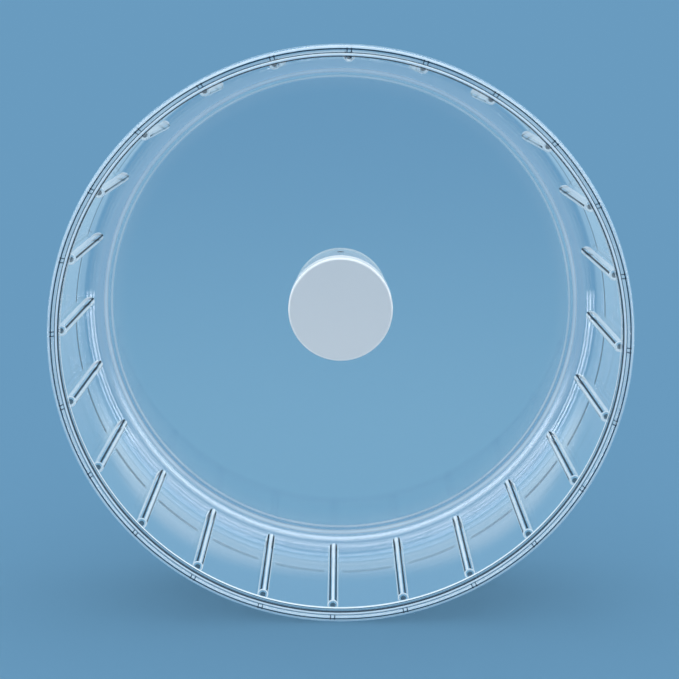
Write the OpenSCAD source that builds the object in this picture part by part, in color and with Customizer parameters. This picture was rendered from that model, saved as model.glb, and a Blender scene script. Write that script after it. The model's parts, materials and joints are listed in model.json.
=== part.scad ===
// Clear silent-running exercise wheel.
// A drum with rungs turns on two ball bearings round a stub axle, which a clear hub behind it holds.
// The axle lies along Y, the open front faces -Y, and the origin is the mouth of the hub's socket.

/* [Drum] */
// Diameter over the bead of the front rim
wheel_d = 210; // [150:1:280]
// Depth inside, from the front of the rim to the back disc
drum_depth = 74; // [55:1:110]
// Thickness of the running wall and of the back disc
wall_t = 2.2; // [1.6:0.1:3]
// Draft of the running wall, in degrees
wall_draft = 1.4; // [0.5:0.1:5]
// Inner radius of the corner between wall and disc
corner_r = 11; // [5:0.5:14]
// Radial width of the rim bead
rim_w = 4.3; // [3.6:0.1:6]
// Length of the rim bead along the axle
rim_l = 7; // [5:0.5:12]
// Rounding of the bead's edges
rim_round = 2; // [0.8:0.1:2.4]
// How far the bead stands in from the running wall
rim_lip = 1.3; // [0.6:0.1:2]
// Distance from the rim's outer edge to the middle of the groove round its front
groove_in = 2.6; // [2.2:0.1:3]
// Width of the groove
groove_w = 1.1; // [0.6:0.1:1.4]
// Depth of the groove
groove_t = 0.8; // [0.4:0.1:1.2]

/* [Rungs] */
// Number of rungs round the wall
rung_count = 24; // [12:1:36]
// Diameter of the rod a rung is cut from
rung_d = 4; // [2:0.1:5]
// How much of the rod is ground away where it seats on the wall
rung_flat = 0.7; // [0.2:0.05:1]
// Turn of the first rung from the top, in degrees
rung_turn = 1.65; // [0:0.05:15]
// Gap between the rim bead and the front end of a rung
rung_gap = 0.1; // [0.05:0.05:2]
// Thickness of the cement between a rung and the wall
bond_gap = 0.05; // [0.02:0.01:0.2]

/* [Bearings] */
// Bore of a bearing, and diameter of the axle
bearing_id = 8; // [6:0.5:10]
// Outer diameter of a bearing
bearing_od = 16; // [15:0.5:22]
// Width of a bearing
bearing_w = 5; // [4:0.5:8]
// Diameter of a ball
ball_d = 2; // [1.6:0.1:2.4]
// Number of balls in a bearing
ball_count = 9; // [6:1:11]
// Running clearance between balls and races
ball_gap = 0.03; // [0.01:0.01:0.06]
// Distance from the ball circle to a race's shoulder, as a share of a ball
shoulder_share = 0.3; // [0.25:0.01:0.35]
// Thickness of the cage, as a share of a ball
cage_share = 0.36; // [0.2:0.02:0.4]
// Length of the cage, as a share of a ball
cage_reach = 1.5; // [1.3:0.05:1.7]
// Thickness of a bearing's shield
shield_t = 0.25; // [0.15:0.05:0.4]
// How far a shield lies in from the bearing's face
shield_inset = 0.2; // [0.1:0.05:0.4]
// Running gap between a shield and the inner ring
shield_gap = 0.2; // [0.1:0.05:0.3]
// Distance between the two bearings
spacer_l = 1; // [0.8:0.1:4]
// How far the front bearing stands in front of the back disc
bearing_stand = 3; // [2:0.5:5]
// Wall of the drum's boss round the bearings
boss_t = 3; // [2:0.5:5]
// Radial clearance of pressed and screwed pieces
fit_gap = 0.02; // [0.01:0.01:0.05]

/* [Hub cap] */
// Diameter of the cap
cap_d = 41.2; // [38:0.2:60]
// Wall of the cap
cap_t = 1.5; // [1:0.1:2.5]
// Rounding of the cap's front edge
cap_round = 1; // [0.4:0.1:1.4]
// Room between the axle screw and the inside of the cap
cap_room = 0.5; // [0.3:0.1:3]
// Gap between the cap's skirt and the back disc
cap_gap = 0.1; // [0.05:0.05:0.5]

/* [Rear hub] */
// Diameter of the rear hub
hub_d = 38.3; // [36:0.1:60]
// Length of the rear hub
hub_l = 27.5; // [25:0.5:60]
// Rounding of the rear hub's rims
hub_round = 1; // [0.4:0.1:2]
// Running gap between the back disc and the rear hub
hub_gap = 1.3; // [0.8:0.1:4]
// Running gap round the drum's boss inside the rear hub
recess_gap = 1; // [0.5:0.1:2]
// Running gap between the end of the drum's boss and the rear hub
recess_end_gap = 0.5; // [0.3:0.1:1]
// Diameter of the socket for a stand's peg
socket_d = 12; // [8:0.5:14]
// Depth of the socket
socket_l = 15; // [8:0.5:16]

/* [Fasteners] */
// Thread of the axle screw
screw_d = 4; // [3:0.5:5]
// Length of the axle screw below its head
screw_l = 9; // [6:0.5:10]
// Diameter of the axle screw's head
screw_head_d = 7; // [6.5:0.5:9]
// Height of the axle screw's head
screw_head_h = 2; // [1.5:0.1:3]
// Width over the corners of a hexagon key socket, as a share of the thread
key_share = 0.55; // [0.4:0.05:0.6]
// Depth of a key socket
key_depth = 1.2; // [0.8:0.1:1.4]
// How much deeper the axle is tapped than its screw reaches
tap_runout = 0.5; // [0.3:0.1:1]
// Thickness of the washers
washer_t = 0.8; // [0.5:0.1:1.5]
// Thread of the grub screw
grub_d = 3; // [2:0.5:5]
// How far the grub screw's outer end lies below the hub's surface
grub_inset = 1.6; // [0.5:0.1:3]
// Gap between the grub screw's point and the socket, with the screw backed off
grub_gap = 0.3; // [0.2:0.1:1]
// Distance from the grub screw to the socket's floor
grub_from_floor = 3; // [2.5:0.5:6]

/* [Hidden] */
$fn = 96;
CUT = 1;
LEAST_FLAT = 0.1;

rim_r = wheel_d / 2;
rim_r_in = rim_r - rim_w;
rim_edge = min(rim_round, (rim_w - LEAST_FLAT) / 2, (rim_l - LEAST_FLAT) / 2);
wall_r_front = rim_r_in + rim_lip;
rung_r = rung_d / 2;
rung_lift = rung_r - rung_flat;
rung_front = rim_l + rung_gap;
rung_step = 360 / rung_count;

bearing_front = drum_depth - bearing_stand;
bearing_rear = bearing_front + bearing_w + spacer_l;
bearing_end = bearing_rear + bearing_w;
bearing_bore_r = bearing_id / 2;
bearing_r = bearing_od / 2;
pitch_r = (bearing_bore_r + bearing_r) / 2;
ball_r = ball_d / 2;
inner_shoulder_r = pitch_r - shoulder_share * ball_d;
outer_shoulder_r = pitch_r + shoulder_share * ball_d;
cage_t = cage_share * ball_d;
cage_r_in = pitch_r - cage_t / 2;
cage_r_out = pitch_r + cage_t / 2;
cage_l = cage_reach * ball_d;
shield_r_in = inner_shoulder_r + shield_gap;

boss_r = bearing_r + boss_t;
boss_front = bearing_front - fit_gap;
lip_r = outer_shoulder_r + fit_gap;
clamp_r = inner_shoulder_r - fit_gap;
recess_floor = bearing_end + washer_t;
boss_end = recess_floor - recess_end_gap;

hub_front = drum_depth + wall_t + hub_gap;
total_l = hub_front + hub_l;
hub_r = hub_d / 2;
recess_r = boss_r + recess_gap;
socket_floor = total_l - socket_l;
grub_at = socket_floor + grub_from_floor;
socket_r = socket_d / 2;
grub_tip = socket_r + grub_gap;
grub_l = hub_r - grub_inset - grub_tip;

washer_front = bearing_front - washer_t;
head_front = washer_front - screw_head_h;
cap_r = cap_d / 2;
cap_front = head_front - cap_room - cap_t;
cap_end = drum_depth - cap_gap;
axle_front = bearing_front + fit_gap;
tap_end = washer_front + screw_l + tap_runout;

CLEAR = [0.80, 0.90, 0.95, 0.40];
WHITE = [0.93, 0.94, 0.95];
STEEL = [0.72, 0.73, 0.75];
BRASS = [0.80, 0.66, 0.32];
DARK = [0.12, 0.12, 0.13];

ENDS = ["front", "rear"];
RING_PARTS = ["outer_ring", "inner_ring", "balls", "cage", "shields"];

function two_digits(i) = str(i < 10 ? "0" : "", i);
function rung_name(i) = str("rung_", two_digits(i));
function bearing_node(end, piece) = str(end, "_bearing_", piece);

// Radius of the running wall's inner face at a depth behind the front of the rim
function wall_r(depth) = wall_r_front - (depth - rim_l) * tan(wall_draft);

// Centre of the corner's arc: corner_r from the disc and corner_r square to the wall
function corner_centre() = [
    wall_r(drum_depth - corner_r) - corner_r / cos(wall_draft),
    drum_depth - corner_r
];

// Turns a shape built along Z, front at 0, onto the axle
module on_axle() {
    translate([0, -total_l, 0])
        rotate([-90, 0, 0])
            children();
}

module revolve() {
    on_axle()
        rotate_extrude()
            children();
}

// Half section of a ring between two radii, from one depth to another
module ring_section(r_in, r_out, from, to) {
    translate([r_in, from])
        square([r_out - r_in, to - from]);
}

// Rectangle with four round corners, from its corner nearest the axis
module rounded_section(w, l, r) {
    translate([r, 0])
        square([w - 2 * r, l]);
    translate([0, r])
        square([w, l - 2 * r]);
    for (x = [r, w - r]) {
        for (y = [r, l - r]) {
            translate([x, y])
                circle(r);
        }
    }
}

// Half section of the space inside the drum, grown outwards by a distance square to every face
module cavity_section(from, grow) {
    centre = corner_centre();
    arc_r = corner_r + grow;
    wall_grow = grow / cos(wall_draft);
    wall_tangent = centre + arc_r * [cos(wall_draft), sin(wall_draft)];
    disc_tangent = centre + [0, arc_r];
    polygon([
        [0, from],
        [wall_r(from) + wall_grow, from],
        wall_tangent,
        disc_tangent,
        [0, drum_depth + grow]
    ]);
    translate(centre)
        circle(arc_r);
}

// Half section of the groove round the rim's front: a slot with a round bottom
module groove_section() {
    groove_r = groove_w / 2;
    floor_at = groove_t - groove_r;
    translate([rim_r - groove_in - groove_r, -CUT])
        square([groove_w, floor_at + CUT]);
    translate([rim_r - groove_in, floor_at])
        circle(groove_r);
}

module drum_section() {
    shell_from = rim_l - rim_edge;
    difference() {
        union() {
            difference() {
                cavity_section(shell_from, wall_t);
                cavity_section(shell_from - CUT, 0);
            }
            translate([rim_r_in, 0])
                rounded_section(rim_w, rim_l, rim_edge);
            ring_section(0, boss_r, boss_front, boss_end);
        }
        groove_section();
        ring_section(0, lip_r, boss_front - CUT, boss_end + CUT);
        ring_section(0, bearing_r + fit_gap, boss_front - CUT, bearing_front + bearing_w);
        ring_section(0, bearing_r + fit_gap, bearing_rear, boss_end + CUT);
    }
}

// The drum: rim bead, running wall, corner, back disc and bearing boss in one moulding
module drum() {
    color(CLEAR)
        revolve()
            drum_section();
}

// One rung: a rod along the wall, ground flat on its seat and running out into the corner
module rung(i) {
    seat = [wall_r(rung_front) - rung_lift / cos(wall_draft), rung_front];
    color(CLEAR)
        on_axle()
            rotate([0, 0, rung_turn + (i - 1) * rung_step - 90])
                intersection() {
                    translate([seat[0], 0, seat[1]])
                        rotate([0, -wall_draft, 0])
                            cylinder(r = rung_r, h = drum_depth - rung_front);
                    rotate([90, 0, 0])
                        linear_extrude(2 * rung_d, center = true)
                            cavity_section(rim_l, -bond_gap);
                }
}

// The white cap: a round cover whose inner sleeve grips the drum's boss
module hub_cap() {
    sleeve_r = boss_r + fit_gap;
    color(WHITE)
        revolve()
            difference() {
                union() {
                    ring_section(0, cap_r - cap_round, cap_front, cap_end);
                    ring_section(0, cap_r, cap_front + cap_round, cap_end);
                    translate([cap_r - cap_round, cap_front + cap_round])
                        circle(cap_round);
                }
                ring_section(0, sleeve_r, cap_front + cap_t, drum_depth);
                ring_section(sleeve_r + cap_t, cap_r - cap_t, cap_front + cap_t, drum_depth);
            }
}

// Grooved ring of a bearing between two radii
module race_ring(r_in, r_out, from) {
    revolve()
        difference() {
            ring_section(r_in, r_out, from, from + bearing_w);
            translate([pitch_r, from + bearing_w / 2])
                circle(ball_r + ball_gap);
        }
}

// Outer ring, whose shoulders hold the two shields
module bearing_outer_ring(from) {
    color(STEEL)
        race_ring(outer_shoulder_r, bearing_r, from);
}

module bearing_inner_ring(from) {
    color(STEEL)
        race_ring(bearing_bore_r + fit_gap, inner_shoulder_r, from);
}

// Places a shape at each ball of a bearing, with X pointing outwards
module at_balls(from) {
    on_axle()
        for (k = [0:ball_count - 1]) {
            rotate([0, 0, k * 360 / ball_count])
                translate([pitch_r, 0, from + bearing_w / 2])
                    children();
        }
}

module bearing_balls(from) {
    color(STEEL)
        at_balls(from)
            sphere(ball_r);
}

// Cage: a band with a round pocket drilled for each ball
module bearing_cage(from) {
    middle = from + bearing_w / 2;
    color(BRASS)
        difference() {
            revolve()
                ring_section(cage_r_in, cage_r_out, middle - cage_l / 2, middle + cage_l / 2);
            at_balls(from)
                rotate([0, 90, 0])
                    cylinder(r = ball_r + ball_gap, h = ball_d, center = true);
        }
}

// Two thin discs that close the bearing, one behind each face
module bearing_shields(from) {
    near = from + shield_inset;
    far = from + bearing_w - shield_inset - shield_t;
    color(STEEL)
        revolve()
            for (at = [near, far]) {
                ring_section(shield_r_in, outer_shoulder_r - fit_gap, at, at + shield_t);
            }
}

module bearing_piece(piece, from) {
    if (piece == "outer_ring") bearing_outer_ring(from);
    if (piece == "inner_ring") bearing_inner_ring(from);
    if (piece == "balls") bearing_balls(from);
    if (piece == "cage") bearing_cage(from);
    if (piece == "shields") bearing_shields(from);
}

module bearing_spacer() {
    color(STEEL)
        revolve()
            ring_section(bearing_bore_r + fit_gap, clamp_r, bearing_front + bearing_w, bearing_rear);
}

module front_washer() {
    color(STEEL)
        revolve()
            ring_section(screw_d / 2 + fit_gap, clamp_r, washer_front, bearing_front);
}

module rear_washer() {
    color(STEEL)
        revolve()
            ring_section(bearing_bore_r + fit_gap, clamp_r, bearing_end, recess_floor);
}

// Six-sided key socket, cut into the end of a screw from depth 0
module key_socket(thread_d) {
    translate([0, 0, -CUT])
        cylinder(d = key_share * thread_d, h = key_depth + CUT, $fn = 6);
}

// The screw that holds the wheel on the axle, under the cap
module axle_screw() {
    color(STEEL)
        on_axle()
            translate([0, 0, head_front])
                difference() {
                    union() {
                        cylinder(d = screw_head_d, h = screw_head_h);
                        cylinder(d = screw_d, h = screw_head_h + screw_l);
                    }
                    key_socket(screw_d);
                }
}

// Stub axle, tapped at the front and pressed into the web of the rear hub
module axle() {
    color(STEEL)
        revolve()
            difference() {
                ring_section(0, bearing_bore_r, axle_front, socket_floor);
                ring_section(0, screw_d / 2 + fit_gap, axle_front - CUT, tap_end);
            }
}

// The clear rear hub: recess for the drum's boss, web for the axle, socket for a stand's peg
module rear_hub() {
    color(CLEAR)
        difference() {
            revolve()
                difference() {
                    union() {
                        ring_section(0, hub_r - hub_round, hub_front, total_l);
                        translate([0, hub_front + hub_round])
                            square([hub_r, hub_l - 2 * hub_round]);
                        for (at = [hub_front + hub_round, total_l - hub_round]) {
                            translate([hub_r - hub_round, at])
                                circle(hub_round);
                        }
                    }
                    ring_section(0, recess_r, hub_front - CUT, recess_floor);
                    ring_section(0, bearing_bore_r + fit_gap, hub_front, total_l);
                    ring_section(0, socket_r, socket_floor, total_l + CUT);
                }
            translate([0, grub_at - total_l, 0])
                cylinder(r = grub_d / 2 + fit_gap, h = hub_r + CUT);
        }
}

// Grub screw at the top of the rear hub, which locks a peg in the socket
module grub_screw() {
    color(DARK)
        translate([0, grub_at - total_l, hub_r - grub_inset])
            rotate([180, 0, 0])
                difference() {
                    cylinder(d = grub_d, h = grub_l);
                    key_socket(grub_d);
                }
}

drum();
for (i = [1:rung_count]) {
    rung(i);
}
hub_cap();
for (piece = RING_PARTS) {
    bearing_piece(piece, bearing_front);
    bearing_piece(piece, bearing_rear);
}
bearing_spacer();
front_washer();
rear_washer();
axle_screw();
axle();
rear_hub();
grub_screw();
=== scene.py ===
# Clear exercise wheel: a moulded drum with rungs, on two ball bearings round a stub axle.
# Lengths are millimetres, and depths run back from the front of the rim.
import json
import bpy
import numpy as np
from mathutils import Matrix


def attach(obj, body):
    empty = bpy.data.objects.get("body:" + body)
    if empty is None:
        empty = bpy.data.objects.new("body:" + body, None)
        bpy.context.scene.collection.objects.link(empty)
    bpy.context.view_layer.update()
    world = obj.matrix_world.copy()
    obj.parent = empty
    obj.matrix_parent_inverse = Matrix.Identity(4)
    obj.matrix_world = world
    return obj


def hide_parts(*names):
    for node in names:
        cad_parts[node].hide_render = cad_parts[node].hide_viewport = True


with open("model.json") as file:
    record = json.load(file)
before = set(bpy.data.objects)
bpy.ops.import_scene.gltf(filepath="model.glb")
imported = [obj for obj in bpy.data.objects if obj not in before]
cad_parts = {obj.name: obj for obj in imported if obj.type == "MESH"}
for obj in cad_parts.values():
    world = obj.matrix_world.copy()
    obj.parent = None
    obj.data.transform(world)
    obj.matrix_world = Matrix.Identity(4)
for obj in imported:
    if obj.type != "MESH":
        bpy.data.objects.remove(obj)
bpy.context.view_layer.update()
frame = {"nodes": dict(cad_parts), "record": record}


# Drum
# The running drum is one clear moulding: a rounded rim bead with a groove round its front, a running
# wall with draft, a rounded corner, a flat back disc, and the boss that both bearings are pressed into.
MM = 0.001
BACK = 105.0
DRAFT = np.radians(1.4)
WALL = 2.2
RIM_R, RIM_IN = 105.0, 100.7
GROOVE_R, GROOVE_MOUTH, GROOVE_FLOOR, GROOVE_DEEP = 102.4, 1.1, 0.6, 0.8
# The bead's rear roundings turn at these depths and meet the wall at these places, outside and inside.
BEAD_OUT_TO, BEAD_IN_TO = 5.997, 6.387
MEET_OUT, MEET_IN = (104.2, 6.6), (102.0, 6.873)
WALL_R, WALL_FROM = 102.0, 7.0
DISC = 74.0
CORNER = 11.0
BOSS_R, BOSS_FROM, BOSS_TO = 11.0, 70.98, 82.3
SEAT_R, LIP_R, LIP_FROM, LIP_TO = 8.02, 6.62, 76.0, 77.0


def unit(v):
    """Vectors divided by their own lengths."""
    return v / np.linalg.norm(v, axis=-1, keepdims=True)


def rounded(corners, steps):
    """Outline with a fillet at each corner (radius, depth, fillet). The arc's centre lies on the
    corner's bisector at fillet / sin(half angle), and its points swing evenly from where it touches
    one side to where it touches the next. Normals are the swung side directions, turned outwards."""
    corner = np.array(corners, float)[:, None, :]
    at, fillet = corner[..., :2], corner[..., 2:]
    before = unit(np.roll(at, 1, 0) - at)
    after = unit(np.roll(at, -1, 0) - at)
    half = np.arccos((before * after).sum(-1, keepdims=True)) / 2
    sweep = np.pi - 2 * half
    share = np.linspace(0, 1, steps)[None, :, None]

    def swing(a, b):
        return (np.sin((1 - share) * sweep) * a + np.sin(share * sweep) * b) / np.sin(sweep)

    to_centre = unit(before + after) * fillet / np.sin(half)
    reach = fillet / np.tan(half)
    points = at + to_centre + swing(before * reach - to_centre, after * reach - to_centre)
    along = swing(-before, after)
    return points, np.stack([along[..., 1], -along[..., 0]], -1)


def new_piece(name, points, faces, normals=None):
    """A mesh object at the origin from whole arrays of points, faces and, if given, smooth normals."""
    mesh = bpy.data.meshes.new(name)
    mesh.from_pydata(points.reshape(-1, 3).tolist(), [], faces)
    mesh.polygons.foreach_set("use_smooth", np.ones(len(mesh.polygons), bool))
    if normals is not None:
        mesh.normals_split_custom_set_from_vertices(normals.reshape(-1, 3).tolist())
    piece = bpy.data.objects.new(name, mesh)
    bpy.context.scene.collection.objects.link(piece)
    return piece


def turned(name, corners, steps=9, around=160, solid=False):
    """Surface turned about the axle: point (turn, along) is the outline's point at along, swung round
    by turn. A solid one's outline starts and ends on the axle, where a single point closes the pole."""
    points, facing = rounded(corners, steps)
    if solid:
        points, facing = (np.concatenate([rows[0, -1:], rows[1:-1].reshape(-1, 2), rows[-1, :1]])
                          for rows in (points, facing))
    points, facing = points.reshape(-1, 2), facing.reshape(-1, 2)
    turn = np.linspace(0, 2 * np.pi, around, endpoint=False)[:, None]

    def swung(section, back):
        r, u = section.T
        depth = np.broadcast_to(u - back, (around, len(r)))
        return np.stack([r * np.sin(turn), depth, r * np.cos(turn)], -1)

    co, no = swung(points, BACK) * MM, swung(facing, 0)
    i = np.arange(around)[:, None]
    right = (i + 1) % around
    n = len(points)
    if not solid:
        j = np.arange(n)
        nxt = (j + 1) % n
        quads = np.stack(np.broadcast_arrays(i * n + j, right * n + j, right * n + nxt, i * n + nxt), -1)
        return new_piece(name, co, quads.reshape(-1, 4).tolist(), no)
    m = n - 2
    j = np.arange(m - 1)
    quads = np.stack(np.broadcast_arrays(i * m + j, right * m + j, right * m + j + 1, i * m + j + 1), -1)
    first, last = around * m, around * m + 1
    fans = np.concatenate([np.stack(np.broadcast_arrays(first, right * m, i * m), -1),
                           np.stack(np.broadcast_arrays(last, i * m + m - 1, right * m + m - 1), -1)])
    co, no = (np.concatenate([rows[:, 1:-1].reshape(-1, 3), rows[0, :1], rows[0, -1:]]) for rows in (co, no))
    return new_piece(name, co, quads.reshape(-1, 4).tolist() + fans.reshape(-1, 3).tolist(), no)


def wall_radius(depth, out=0.0):
    """Radius of the running wall at a depth, moved out square to the wall by a distance."""
    return WALL_R - (depth - WALL_FROM) * np.tan(DRAFT) + out / np.cos(DRAFT)


drum = turned("clear_drum", [
    (RIM_IN, 0.0, 0.8), (GROOVE_R - GROOVE_MOUTH / 2, 0.0, 0.3),
    (GROOVE_R - GROOVE_FLOOR / 2, GROOVE_DEEP, 0.25), (GROOVE_R + GROOVE_FLOOR / 2, GROOVE_DEEP, 0.25),
    (GROOVE_R + GROOVE_MOUTH / 2, 0.0, 0.3), (RIM_R, 0.0, 1.75), (RIM_R, BEAD_OUT_TO, 1.8),
    (*MEET_OUT, 0.2), (wall_radius(DISC + WALL, WALL), DISC + WALL, CORNER + WALL),
    (BOSS_R, DISC + WALL, 0.5), (BOSS_R, BOSS_TO, 0.4), (SEAT_R, BOSS_TO, 0.2), (SEAT_R, LIP_TO, 0.03),
    (LIP_R, LIP_TO, 0.05), (LIP_R, LIP_FROM, 0.05), (SEAT_R, LIP_FROM, 0.03), (SEAT_R, BOSS_FROM, 0.2),
    (BOSS_R, BOSS_FROM, 0.4), (BOSS_R, DISC, 0.5), (wall_radius(DISC), DISC, CORNER),
    (*MEET_IN, 0.2), (RIM_IN, BEAD_IN_TO, 1.8)], steps=11, around=360)


class Wire:
    """One value in a node tree. Sums, differences, products, quotients and powers add Math nodes."""

    def __init__(self, nodes, socket):
        self.nodes, self.socket = nodes, socket

    def math(self, operation, *values):
        return self.nodes.node("ShaderNodeMath", {"operation": operation}, dict(enumerate(values)))

    def __add__(self, other):
        return self.math("ADD", self, other)

    def __sub__(self, other):
        return self.math("SUBTRACT", self, other)

    def __rsub__(self, other):
        return self.math("SUBTRACT", other, self)

    def __mul__(self, other):
        return self.math("MULTIPLY", self, other)

    def __truediv__(self, other):
        return self.math("DIVIDE", self, other)

    def __pow__(self, other):
        return self.math("POWER", self, other)

    __radd__, __rmul__ = __add__, __mul__


class Nodes:
    """A node tree that is filled by expressions."""

    def __init__(self, tree):
        self.tree = tree

    def node(self, kind, settings=None, sockets=None, out=0):
        """Any node: its settings first, then the values or links of its sockets."""
        made = self.tree.nodes.new(kind)
        for key, value in (settings or {}).items():
            setattr(made, key, value)
        for key, value in (sockets or {}).items():
            if isinstance(value, Wire):
                self.tree.links.new(value.socket, made.inputs[key])
            else:
                made.inputs[key].default_value = value
        return Wire(self, made.outputs[out])

    def smooth(self, value, low, high):
        """0 below low, 1 above high, and a smooth step between them."""
        return self.node("ShaderNodeMapRange", {"interpolation_type": "SMOOTHSTEP"},
                         {"Value": value, "From Min": low, "From Max": high})

    def split(self, vector):
        """The three parts of a vector."""
        return [self.node("ShaderNodeSeparateXYZ", None, {0: vector}, part) for part in "XYZ"]

    def ray(self, fact):
        """A fact about the ray that is being traced, such as Is Glossy Ray."""
        return self.node("ShaderNodeLightPath", out=fact)

    def painted(self, under, over, share):
        """One colour laid over another by a share from 0 to 1. A Mix node's colours go in at sockets 6
        and 7 and come out at 2."""
        return self.node("ShaderNodeMix", {"data_type": "RGBA"}, {"Factor": share, 6: under, 7: over}, 2)


class Finish(Nodes):
    """A material: one Principled shader, its constant sockets, and the nodes that feed the others."""

    def __init__(self, name, **constants):
        self.material = bpy.data.materials.new(name)
        self.material.use_nodes = True
        super().__init__(self.material.node_tree)
        self.shader = self.tree.nodes["Principled BSDF"]
        self.shown = Wire(self, self.shader.outputs[0])
        for socket, value in constants.items():
            self.shader.inputs[socket.replace("_", " ")].default_value = value

    def feed(self, socket, wire):
        """Links a value to one of the shader's sockets."""
        self.tree.links.new(wire.socket, self.shader.inputs[socket])

    def place(self):
        """Object coordinates of the piece, in metres."""
        return self.node("ShaderNodeTexCoord", out="Object")

    def slant(self):
        """0 where the surface is seen square on, and 1 where it is seen edge on."""
        return self.node("ShaderNodeLayerWeight", None, {"Blend": 0.5}, "Facing")

    def noise(self, where, scale, detail=2.0):
        """A cloud of values round 0.5, at so many waves to a metre."""
        return self.node("ShaderNodeTexNoise", None, {"Vector": where, "Scale": scale, "Detail": detail})

    def bump(self, height, distance):
        """Tilts the shading by a height that is given in units of distance."""
        self.feed("Normal", self.node("ShaderNodeBump", None, {"Height": height, "Distance": distance}))

    def lay(self, share, kind, colour):
        """Lays a plain shader over what is shown so far, by a share from 0 to 1."""
        over = self.node("ShaderNodeBsdf" + kind, None, {"Color": (*colour, 1.0)})
        self.shown = self.node("ShaderNodeMixShader", None, {0: share, 1: self.shown, 2: over})
        self.tree.links.new(self.shown.socket, self.tree.nodes["Material Output"].inputs["Surface"])


# Clear plastic's colours: clear, a pale one for haze and painted highlights, and a near black one for
# painted shade.
CLEAR, HAZE_AND_HIGHLIGHT, PAINTED_SHADE_COLOUR = (0.985, 0.992, 0.996), (0.82, 0.93, 1.0), (0.012, 0.022, 0.035)
NOTHING, SHADE = (1.0, 1.0, 1.0), (0.85, 0.85, 0.85)


def clear_plastic(name, haze, dark=None, bonded=None, rough=0.005):
    """Clear styrene with a slow flow ripple. It lets light straight through, and mirrors 4 per cent of
    it square on and more by the fifth power of the slant. Haze is the share laid over it in a pale colour,
    partly real scatter and partly painted highlights; dark is the share laid over it near black, painted
    shade. Where it is bonded, clear cement joins it to the next piece and it mirrors nothing. Mirrors show
    it at a quarter of its strength, and light that falls through it on other pieces loses 15 per cent."""
    finish = Finish(name, Base_Color=(0.97, 0.985, 1.0, 1.0), Metallic=1.0)
    where = finish.place()
    smear = finish.noise(where, 35.0, 4.0)
    finish.feed("Roughness", smear * 0.02 + rough)
    finish.bump(finish.noise(where, 60.0, 1.0), 0.0015 * MM)
    through = 0.96 - finish.slant() ** 5 * 0.8
    if bonded:
        through = through.math("MAXIMUM", through, bonded(finish, where))
    finish.lay(through, "Transparent", CLEAR)
    if dark:
        finish.lay(dark(finish, where), "Diffuse", PAINTED_SHADE_COLOUR)
    finish.lay(haze(finish, where) * (smear + 0.5), "Diffuse", HAZE_AND_HIGHLIGHT)
    finish.lay(finish.ray("Is Glossy Ray") * 0.75, "Transparent", NOTHING)
    finish.lay(finish.ray("Is Shadow Ray") + finish.ray("Is Diffuse Ray"), "Transparent", SHADE)
    return finish.material


RUNGS = 24
RUNG_R, RUNG_LIFT, BOND = 2.0, 1.3, 0.05
RUNG_FROM = 7.1
RUNG_TURN = np.radians(1.65)


def round_the_wall(finish, where):
    """A place's radius, its depth behind the rim, its height over the running wall, and its distance
    along the wall from the middle of the nearest rung."""
    x, y, z = finish.split(where)
    r = (x * x + z * z) ** 0.5
    step = 2 * np.pi / RUNGS
    turns = (x.math("ARCTAN2", x, z) - RUNG_TURN) / step
    off = (turns - turns.math("ROUND", turns)) * step * r
    depth = y + BACK * MM
    height = (WALL_R + WALL_FROM * np.tan(DRAFT)) * MM - r - depth * np.tan(DRAFT)
    return r, depth, height, off.math("ABSOLUTE", off)


def under_rungs(finish, where):
    """1 on the running wall where a rung is cemented: within half a seat's width of a rung's middle,
    between the rim and the corner, and on the inner face alone."""
    r, depth, height, off = round_the_wall(finish, where)
    seat = np.sqrt(RUNG_R ** 2 - (RUNG_LIFT - BOND) ** 2)
    near = off.math("LESS_THAN", off, seat * MM)
    inside = height.math("GREATER_THAN", height, -WALL / 2 * MM)
    behind = depth.math("GREATER_THAN", depth, RUNG_FROM * MM)
    ahead = depth.math("LESS_THAN", depth, (DISC - CORNER) * MM)
    return near * inside * behind * ahead


def between(finish, value, low, high, soft=0.08):
    """1 between two distances in millimetres and 0 outside, with soft edges."""
    return (finish.smooth(value, (low - soft) * MM, (low + soft) * MM)
            * (1 - finish.smooth(value, (high - soft) * MM, (high + soft) * MM)))


def bands(finish, value, lines, soft=0.08):
    """Sum of soft lines, each from one distance to another and with a strength of its own."""
    return sum(between(finish, value, low, high, soft) * strength for low, high, strength in lines)


def rim_faces(finish, r, depth, off):
    """1 on the rim's front face, 1 on its inner face, and 1 where images of the rungs' ends are painted
    into the rim, a painted reflection of how the clear rim bends them.
    """
    front = 1 - finish.smooth(depth, 1.4 * MM, 2.0 * MM)
    inner = (1 - finish.smooth(r, 101.6 * MM, 101.9 * MM)) * between(finish, depth, 1.2, 8.0, 0.3)
    return front, inner, between(finish, off, 0.55, 1.0) * between(finish, r, 102.3, 103.9)


# Painted highlights: pale lines in the rim and on the bead's inner face.
RIM_PAINTED_HIGHLIGHTS = [(103.8, 104.6, 0.6), (102.45, 103.15, 0.45), (101.2, 101.9, 1.2)]
# Painted shade: dark lines in the rim and on the bead's inner face, and a painted dark reflection round the
# wall.
RIM_PAINTED_SHADE = [(103.25, 103.7, 0.9), (101.95, 102.3, 0.8), (100.7, 101.15, 0.9)]
INNER_PAINTED_HIGHLIGHT, INNER_PAINTED_SHADE = [(3.5, 4.9, 1.2)], [(2.6, 3.3, 0.7)]
WALL_PAINTED_DARK_REFLECTION = [(45.8, 48.4, 0.5)]


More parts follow.
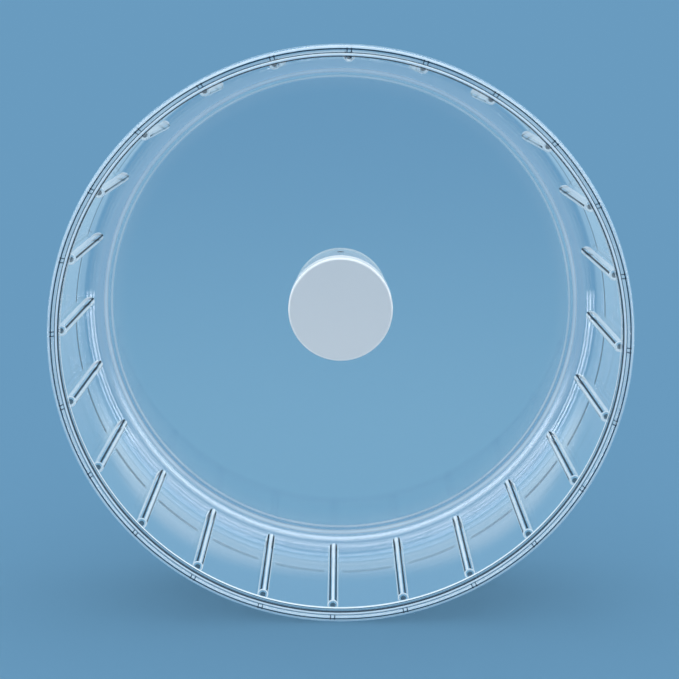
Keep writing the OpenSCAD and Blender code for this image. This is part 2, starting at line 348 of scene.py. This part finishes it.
def drum_haze_and_painted_highlights(finish, where):
    """Share laid over the drum in pale: painted highlights in the rim's edges and the bead's inner face,
    two painted highlight lines along the corner with a painted glow beside them, and a little real haze."""
    r, depth, height, off = round_the_wall(finish, where)
    front, inner, painted_rung_ends = rim_faces(finish, r, depth, off)
    rim = front * bands(finish, r, RIM_PAINTED_HIGHLIGHTS) * (1 - painted_rung_ends)
    centre = wall_radius(DISC - CORNER) - CORNER
    # Painted highlight lines along the corner, and a painted glow beside them.
    corner = (between(finish, r, centre + 2.6, centre + 4.0, 0.6) * 0.45
              + between(finish, r, centre + 0.6, centre + 1.5, 0.4) * 0.35
              + finish.smooth(r, (centre - 6.0) * MM, (centre + 1.0) * MM) * 0.07)
    inside = between(finish, depth, DISC - 2.0, DISC + 0.6)
    return rim + inner * bands(finish, depth, INNER_PAINTED_HIGHLIGHT) + corner * inside + 0.004


def drum_painted_shade(finish, where):
    """Share laid over the drum near black, all painted shade: dark lines along the roots of the rim's
    roundings and its groove and on the bead's inner face, dark painted images of the rungs' ends in the
    rim, and, at a low angle, a faint painted dark reflection in a line round the wall between the rungs."""
    r, depth, height, off = round_the_wall(finish, where)
    front, inner, painted_rung_ends = rim_faces(finish, r, depth, off)
    rim = front * (bands(finish, r, RIM_PAINTED_SHADE) + painted_rung_ends * 0.7)
    wall = bands(finish, depth, WALL_PAINTED_DARK_REFLECTION, 0.7) * between(finish, height, -1.0, 1.0)
    seen = finish.smooth(off, 2.6 * MM, 4.6 * MM) * finish.smooth(finish.slant(), 0.6, 0.75)
    return rim + inner * bands(finish, depth, INNER_PAINTED_SHADE) + wall * seen


# The drum's clear plastic carries the painted highlight lines and painted shade lines above.
drum.data.materials.append(clear_plastic("drum_clear_plastic", drum_haze_and_painted_highlights, drum_painted_shade, under_rungs))
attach(drum, "wheel")
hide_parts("drum")


# Rungs
# Twenty-four clear rods give grip on the running wall. Each is ground flat on its seat, cemented along
# the wall, and runs out into the rounded corner at the back.
RUNG_ROLL = 0.25


def rung_rod(name, turn):
    """A rod of D section. Point (round, along) lies on the section at round: a circle cut off at the
    bond. Every line ends where it meets the corner's arc, sqrt(arc^2 - (corner - height)^2) past the
    foot of the arc's centre, and its front edge is rolled in over a quarter turn."""
    sin, cos = np.sin(DRAFT), np.cos(DRAFT)
    edge = np.arccos((RUNG_LIFT - BOND) / RUNG_R)
    sweep = np.linspace(edge, 2 * np.pi - edge, 49)
    roll = np.linspace(0, np.pi / 2, 6)[:, None]
    size = RUNG_R - RUNG_ROLL * (1 - np.sin(roll))
    across = size * np.sin(sweep)
    height = np.maximum(RUNG_LIFT - size * np.cos(sweep), BOND)
    along = np.broadcast_to(RUNG_ROLL * (1 - np.cos(roll)), across.shape)
    foot_r = wall_radius(RUNG_FROM) - RUNG_LIFT / cos + RUNG_LIFT * cos
    foot_u = RUNG_FROM + RUNG_LIFT * sin
    centre_r, centre_u = wall_radius(DISC - CORNER) - CORNER / cos, DISC - CORNER
    foot = -(centre_r - foot_r) * sin + (centre_u - foot_u) * cos
    arc = CORNER - BOND
    end = foot + np.sqrt(np.maximum(arc ** 2 - (CORNER - height[-1]) ** 2, 0))
    shares = np.linspace(0, 1, 6)[1:, None]
    along = np.concatenate([along, along[-1] + shares * (end - along[-1])])
    across = np.concatenate([across, np.repeat(across[-1:], len(shares), 0)])
    height = np.concatenate([height, np.repeat(height[-1:], len(shares), 0)])
    r = foot_r - height * cos - along * sin
    u = foot_u - height * sin + along * cos
    co = np.stack([r * np.sin(turn) + across * np.cos(turn), u - BACK,
                   r * np.cos(turn) - across * np.sin(turn)], -1) * MM
    rows, n = across.shape
    i, j = np.arange(rows - 1)[:, None], np.arange(n)
    nxt = (j + 1) % n
    side = np.stack(np.broadcast_arrays(i * n + j, i * n + nxt, (i + 1) * n + nxt, (i + 1) * n + j), -1)
    k = np.arange(n // 2)
    front = np.stack([k, n - 1 - k, n - 2 - k, k + 1], -1)
    front = front[front[:, 2] != front[:, 3]]
    back = front[:, ::-1] + (rows - 1) * n
    tips = np.array([[k[-1], n - 1 - k[-1], k[-1] + 1]])
    faces = np.concatenate([side.reshape(-1, 4), front, back]).tolist()
    faces += tips.tolist() + (tips[:, ::-1] + (rows - 1) * n).tolist()
    rod = new_piece(name, co, faces)
    rod.data.set_sharp_from_angle(angle=np.radians(40))
    seat = np.zeros(len(faces), np.int32)
    seat[: side.shape[0] * n].reshape(-1, n)[:, -1] = 1
    rod.data.polygons.foreach_set("material_index", seat)
    return rod


def across_the_rung(finish, where):
    """A place's distance from a rung's middle line, its distance from the section's centre, its height
    over the wall, and 1 on the rung's front end."""
    r, depth, height, off = round_the_wall(finish, where)
    lift = height - RUNG_LIFT * MM
    end = 1 - finish.smooth(depth, (RUNG_FROM + 0.2) * MM, (RUNG_FROM + 0.35) * MM)
    return off, (off * off + lift * lift) ** 0.5, height, end


def rung_haze_and_painted_highlights(finish, where):
    """Share laid over a rung in pale: a painted highlight along its crest, painted highlights on its edges
    and a painted glint on its rolled end, over a little real haze.
    """
    off, out, height, end = across_the_rung(finish, where)
    crest = (1 - finish.smooth(off, 0.3 * MM, 0.6 * MM)) * finish.smooth(height, 2.2 * MM, 3.0 * MM)
    edge = finish.smooth(off, 1.65 * MM, 1.85 * MM)
    roll = finish.smooth(out, 1.45 * MM, 1.7 * MM) * end
    return (crest * 0.7 + edge * 0.4) * (1 - end) + roll * 0.7 + 0.002


def rung_painted_shade(finish, where):
    """Share laid over a rung near black, all painted shade: dark lines along both sides, fainter at a low
    angle, and a dark patch in its cut end.
    """
    off, out, height, end = across_the_rung(finish, where)
    lines = between(finish, off, 0.8, 1.4) * (1 - finish.smooth(finish.slant(), 0.8, 0.92) * 0.7)
    return lines * (1 - end) * 0.85 + (1 - finish.smooth(out, 0.8 * MM, 1.2 * MM)) * end * 0.7


def cement_haze(finish, where):
    """Share of light that the cement under a rung scatters."""
    return finish.noise(where, 300.0) * 0.02


# The rungs show painted highlights and painted dark lines over their clear plastic.
rung_plastic = clear_plastic("rung_clear_plastic", rung_haze_and_painted_highlights, rung_painted_shade)
cement = clear_plastic("rung_cement_line", cement_haze, bonded=lambda finish, where: 1.0)
for number in range(1, RUNGS + 1):
    rod = rung_rod(f"rung_rod_{number:02d}", RUNG_TURN + (number - 1) * 2 * np.pi / RUNGS)
    rod.data.materials.append(rung_plastic)
    rod.data.materials.append(cement)
    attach(rod, "wheel")
    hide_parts(f"rung_{number:02d}")


# Cap
# A white moulded cover over the axle screw, finely grained, with a glossy rounded edge that is also
# painted whiter than its face, a painted highlight. Its inner sleeve grips the drum's boss.
CAP_R, CAP_FROM, CAP_TO, CAP_T = 20.6, 66.2, 73.9, 1.5
SLEEVE_R = 11.02
CAP_FACE, CAP_EDGE_HIGHLIGHT = (0.80, 0.81, 0.82, 1.0), (0.98, 0.98, 0.98, 1.0)
cap = turned("white_cap", [
    (0.0, CAP_FROM, 0.0), (CAP_R, CAP_FROM, 1.0), (CAP_R, CAP_TO, 0.2), (CAP_R - CAP_T, CAP_TO, 0.2),
    (CAP_R - CAP_T, CAP_FROM + CAP_T, 0.4), (SLEEVE_R + CAP_T, CAP_FROM + CAP_T, 0.4),
    (SLEEVE_R + CAP_T, CAP_TO, 0.2), (SLEEVE_R, CAP_TO, 0.2), (SLEEVE_R, CAP_FROM + CAP_T, 0.4),
    (0.0, CAP_FROM + CAP_T, 0.0)], solid=True)
white = Finish("cap_white_plastic", IOR=1.5, Specular_IOR_Level=0.2, Coat_Roughness=0.04)
where = white.place()
x, y, z = white.split(where)
edge = white.smooth((x * x + z * z) ** 0.5, (CAP_R - 0.95) * MM, (CAP_R - 0.5) * MM)
# The rounded edge is painted whiter, a painted highlight, and gets a fuller coat.
white.feed("Base Color", white.painted(CAP_FACE, CAP_EDGE_HIGHLIGHT, edge))
white.feed("Coat Weight", edge * 0.9 + 0.1)
white.feed("Roughness", white.noise(where, 180.0, 4.0) * 0.12 + 0.38)
white.bump(white.noise(where, 2500.0), 0.01 * MM)
cap.data.materials.append(white.material)
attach(cap, "wheel")
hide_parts("hub_cap")


# Bearings, axle and fasteners
# Two small ball bearings with a spacer between them, clamped on a stub axle by a screw and washers, and
# the grub screw of the hub. They keep the frame's meshes, in bare steel, blackened steel and brass.
METALS = {
    "bearing_steel": ((0.72, 0.73, 0.75), 0.12, 3000.0),
    "axle_steel": ((0.62, 0.63, 0.65), 0.2, 2500.0),
    "screw_steel": ((0.58, 0.58, 0.60), 0.28, 1800.0),
    "brass": ((0.80, 0.58, 0.25), 0.22, 2200.0),
    "black_steel": ((0.03, 0.03, 0.033), 0.38, 1500.0),
}


def metal(name, colour, rough, grain):
    """Metal with a fine grain, at so many waves to a metre, and a slow change of polish."""
    finish = Finish(name, Base_Color=(*colour, 1.0), Metallic=1.0)
    where = finish.place()
    finish.feed("Roughness", finish.noise(where, 400.0, 3.0) * 0.12 + rough)
    finish.bump(finish.noise(where, grain), 0.004 * MM)
    return finish.material


finishes = {slot: metal("inner_" + slot, *values) for slot, values in METALS.items()}
for piece in frame["record"]["subparts"]:
    if piece["material_slot"] in finishes:
        materials = frame["nodes"][piece["node"]].data.materials
        materials.clear()
        materials.append(finishes[piece["material_slot"]])


# Rear hub
# A clear turned hub behind the disc. It carries the axle in its web and takes a stand's peg in its
# socket, which the grub screw at its top clamps.
HUB_R, HUB_FROM = 19.15, 77.5
RECESS_R, RECESS_TO = 12.0, 82.8
BORE_R = 4.02
SOCKET_R, SOCKET_FROM = 6.0, 90.0
GRUB_R, GRUB_AT = 1.52, 93.0
hub = turned("clear_rear_hub", [
    (RECESS_R, HUB_FROM, 0.3), (HUB_R, HUB_FROM, 1.0), (HUB_R, BACK, 1.0), (SOCKET_R, BACK, 0.4),
    (SOCKET_R, SOCKET_FROM, 0.1), (BORE_R, SOCKET_FROM, 0.05), (BORE_R, RECESS_TO, 0.05),
    (RECESS_R, RECESS_TO, 0.3)], around=192)


def hub_haze_and_painted_highlights(finish, where):
    """Share laid over the hub in pale: rising towards its rear, painted highlight lines along its outer
    edges and round its socket's mouth, and a little real haze.
    """
    r, depth, height, off = round_the_wall(finish, where)
    outer = between(finish, r, HUB_R - 0.8, HUB_R + 0.2)
    rear = finish.smooth(depth, (BACK - 1.2) * MM, (BACK - 0.6) * MM)
    front = 1 - finish.smooth(depth, (HUB_FROM + 0.6) * MM, (HUB_FROM + 1.2) * MM)
    mouth = between(finish, r, SOCKET_R - 0.1, SOCKET_R + 0.6) * rear
    body = finish.smooth(depth, (HUB_FROM + 6.0) * MM, BACK * MM) * 0.12
    return body + outer * (rear * 0.6 + front * 0.3) + mouth * 0.5 + 0.01


def grub_hole_painted_shade(finish, where):
    """Painted shade: a dark spot at the top of the hub, standing for the mouth of the grub screw's hole."""
    x, y, z = finish.split(where)
    along = y + (BACK - GRUB_AT) * MM
    mouth = 1 - finish.smooth((x * x + along * along) ** 0.5, (GRUB_R - 0.2) * MM, GRUB_R * MM)
    return mouth * finish.smooth(z, (HUB_R - 1.5) * MM, (HUB_R - 1.0) * MM) * 0.85


# The hub shows painted highlight lines and a painted dark spot over its clear plastic.
hub.data.materials.append(clear_plastic("hub_clear_plastic", hub_haze_and_painted_highlights, grub_hole_painted_shade, rough=0.01))
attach(hub, "rear_mount")
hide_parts("rear_hub")


# Floor
# A plain pale blue sweep of paper under the wheel. Seen through clear plastic it gives way to the even
# paper of the studio, and no mirror shows it.
FLOOR, UNDER = 60000.0, 0.05
corners = np.array([[-FLOOR, -FLOOR], [FLOOR, -FLOOR], [FLOOR, FLOOR], [-FLOOR, FLOOR]])
floor = new_piece("floor", np.insert(corners, 2, -RIM_R - UNDER, 1) * MM, [[0, 1, 2, 3]])
paper = Finish("floor_paper", Base_Color=(0.117, 0.249, 0.372, 1.0), Roughness=0.9, Specular_IOR_Level=0.0)
behind = paper.ray("Transparent Depth")
paper.lay(behind.math("GREATER_THAN", behind, 0.5), "Transparent", NOTHING)
floor.data.materials.append(paper.material)
floor.visible_glossy = False


# Light
# Even light from all round, brighter overhead. Shiny surfaces mirror a painted studio instead: a softbox
# above, strips at both sides, a paler front and dark gaps. The camera sees plain paper.
PAPER, DARK = (0.141, 0.328, 0.527, 1.0), (0.02, 0.035, 0.05, 1.0)
NEAR_RIM, NEAR_CORNER = (0.33, 0.58, 0.77, 1.0), (0.82, 1.0, 1.09, 1.0)
VEIL, SHADED = (0.48, 0.66, 0.80, 1.0), (0.38, 0.60, 0.78, 1.0)
HAZY, FRONT, LOW = (1.7, 2.3, 2.75, 1.0), (0.10, 0.20, 0.30, 1.0), (0.70, 1.15, 1.20, 1.0)
SOFTBOX, FORWARD = (4.2, 4.4, 4.6, 1.0), (6.0, 6.3, 6.5, 1.0)
STRIP, GLOW, LOOP = (8.0, 8.2, 8.4, 1.0), (1.2, 1.4, 1.6, 1.0), (0.95, 1.08, 1.2, 1.0)
AROUND, OVERHEAD = (0.83, 0.916, 0.996, 1.0), (1.72, 1.85, 1.95, 1.0)
world = bpy.data.worlds.new("studio")
bpy.context.scene.world = world
world.use_nodes = True
world.cycles.sampling_method = "NONE"
studio = Nodes(world.node_tree)
step, painted = studio.smooth, studio.painted
side, back, up = studio.split(studio.node("ShaderNodeTexCoord", out="Generated"))
ahead, below = 0 - back, 0 - up
wide, deep = side.math("ABSOLUTE", side), back.math("ABSOLUTE", back)
bounces = studio.ray("Ray Depth")
first = bounces.math("LESS_THAN", bounces, 2.5)


def span(value, low, full, fade, high):
    """0 below low, 1 from full to fade and 0 above high, with smooth steps between them."""
    return step(value, low, full) * (1 - step(value, fade, high))


# Each ring of the running wall mirrors the directions where side^2 + TALL up^2 - SHIFT up has one value,
# so inward is 0 where the wall starts at the rim and 1 where it ends at the corner.
TALL, SHIFT, AT_RIM, TO_CORNER = 1.172, 0.1467, 0.1102, 0.0159
inward = (AT_RIM - (side * side + up * up * TALL - up * SHIFT)) / TO_CORNER
veil = painted(NEAR_RIM, NEAR_CORNER, step(inward, 0.38, 0.75))
veil = painted(VEIL, veil, span(inward, -0.6, -0.2, 1.2, 1.6))
veil = painted(veil, SHADED, step(below, 0.0, 0.12))
sky = painted(PAPER, DARK, step(up, 0.03, 0.1))
sky = painted(sky, veil, step(back, 0.75, 0.85))
sky = painted(sky, HAZY, step(up, -0.05, 0.2) * span(back, 0.35, 0.4, 0.80, 0.87))
sky = painted(sky, painted(FRONT, LOW, step(below, 0.05, 0.26)), step(ahead, 0.15, 0.25))
sky = painted(sky, LOOP, first * span(ahead, 0.25, 0.35, 0.90, 0.94))
sky = painted(sky, SOFTBOX, step(up, 0.3, 0.4) * (1 - step(deep, 0.35, 0.42)))
sky = painted(sky, FORWARD, first * step(up, -0.05, 0.25) * span(ahead, 0.58, 0.68, 0.78, 0.84))
sky = painted(sky, STRIP, step(wide, 0.88, 0.92) * (1 - step(deep, 0.15, 0.2)) * step(up, -0.25, -0.22))
sky = painted(sky, GLOW, first * step(ahead, 0.6, 0.65) * step(below, 0.45, 0.5))
sky = painted(sky, painted(AROUND, OVERHEAD, step(up, 0.55, 0.95)), studio.ray("Is Diffuse Ray"))
sky = painted(sky, PAPER, studio.ray("Is Camera Ray"))
studio.tree.links.new(sky.socket, world.node_tree.nodes["Background"].inputs["Color"])


# Camera
# It stands in front, a little higher than the rim, and looks down into the drum through a long lens.
camera = bpy.data.objects.new("camera", bpy.data.cameras.new("camera"))
camera.data.sensor_width = 36.0
camera.data.lens = 95.52
camera.data.clip_start, camera.data.clip_end = 0.01, 300.0
camera.location = (-0.42 * MM, -735.0 * MM, 124.5 * MM)
camera.rotation_euler = (np.radians(90.0 - 11.08), 0.0, 0.0)
bpy.context.scene.collection.objects.link(camera)
bpy.context.scene.camera = camera
bpy.context.scene.view_settings.view_transform = "Standard"
cycles = bpy.context.scene.cycles
cycles.max_bounces, cycles.glossy_bounces, cycles.transparent_max_bounces = 32, 12, 32
cycles.use_denoising = True
